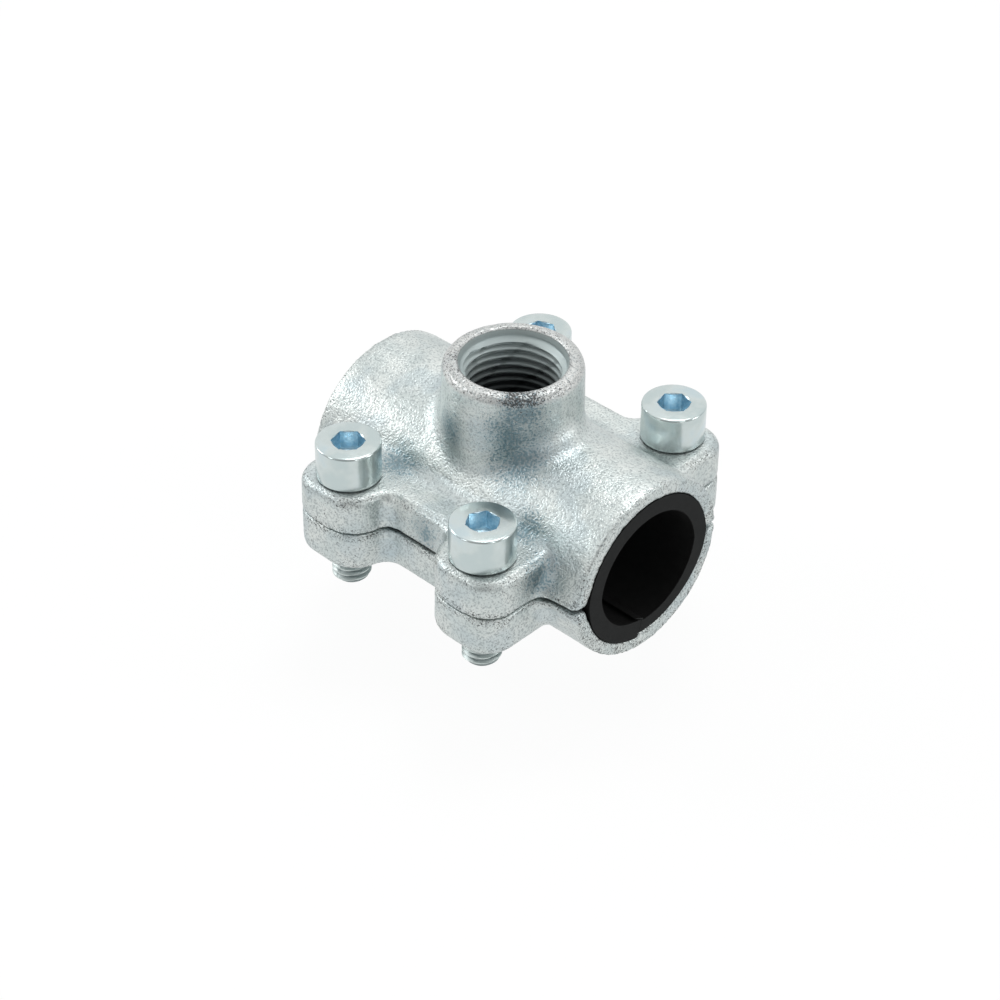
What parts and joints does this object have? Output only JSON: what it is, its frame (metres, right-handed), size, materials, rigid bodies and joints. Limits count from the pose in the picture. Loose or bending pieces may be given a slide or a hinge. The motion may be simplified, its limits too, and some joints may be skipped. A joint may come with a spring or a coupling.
{
  "type": "mechanical tee",
  "caption": "Split pipe saddle in plated cast iron with a threaded outlet, a split rubber sleeve round the pipe and socket cap screws that draw the halves together",
  "frame": {"origin": "Where the pipe axis crosses the outlet axis, on the plane where the two saddles part.", "axes": "+X runs along the pipe, +Z along the outlet and out of it, and +Y completes the right-handed frame towards the rear screws."},
  "size_m": [0.073, 0.07, 0.05],
  "materials": {
    "plated_casting": "zinc-plated rough casting, pale silver grey with a blue tint",
    "plated_steel": "bright zinc plate with a blue passivation",
    "seal_rubber": "matt black moulded rubber"
  },
  "bodies": {
    "upper": {"upper_saddle": "plated_casting", "seal_sleeve": "seal_rubber"},
    "lower": {"lower_saddle": "plated_casting"},
    "screw_front_left": {"cap_screw_front_left": "plated_steel"},
    "screw_front_right": {"cap_screw_front_right": "plated_steel"},
    "screw_rear_left": {"cap_screw_rear_left": "plated_steel"},
    "screw_rear_right": {"cap_screw_rear_right": "plated_steel"}
  },
  "joints": [
    {"name": "clamp_open", "type": "slide", "parent": "upper", "child": "lower", "axis": [0, 0, -1], "range_m": [0, 0.014]},
    {"name": "turn_front_left", "type": "hinge", "parent": "upper", "child": "screw_front_left", "pos_m": [-0.01825, -0.02707, 0.0084], "axis": [0, 0, 1], "range_deg": [0, 4032.5]},
    {"name": "turn_front_right", "type": "hinge", "parent": "upper", "child": "screw_front_right", "pos_m": [0.01825, -0.02707, 0.0084], "axis": [0, 0, 1], "range_deg": [0, 4032.5]},
    {"name": "turn_rear_left", "type": "hinge", "parent": "upper", "child": "screw_rear_left", "pos_m": [-0.01825, 0.02707, 0.0084], "axis": [0, 0, 1], "range_deg": [0, 4032.5]},
    {"name": "turn_rear_right", "type": "hinge", "parent": "upper", "child": "screw_rear_right", "pos_m": [0.01825, 0.02707, 0.0084], "axis": [0, 0, 1], "range_deg": [0, 4032.5]}
  ],
  "couplings": [
    {"joint": "turn_front_left", "follows": "clamp_open", "rad_per_m": 5026.5},
    {"joint": "turn_front_right", "follows": "clamp_open", "rad_per_m": 5026.5},
    {"joint": "turn_rear_left", "follows": "clamp_open", "rad_per_m": 5026.5},
    {"joint": "turn_rear_right", "follows": "clamp_open", "rad_per_m": 5026.5}
  ]
}
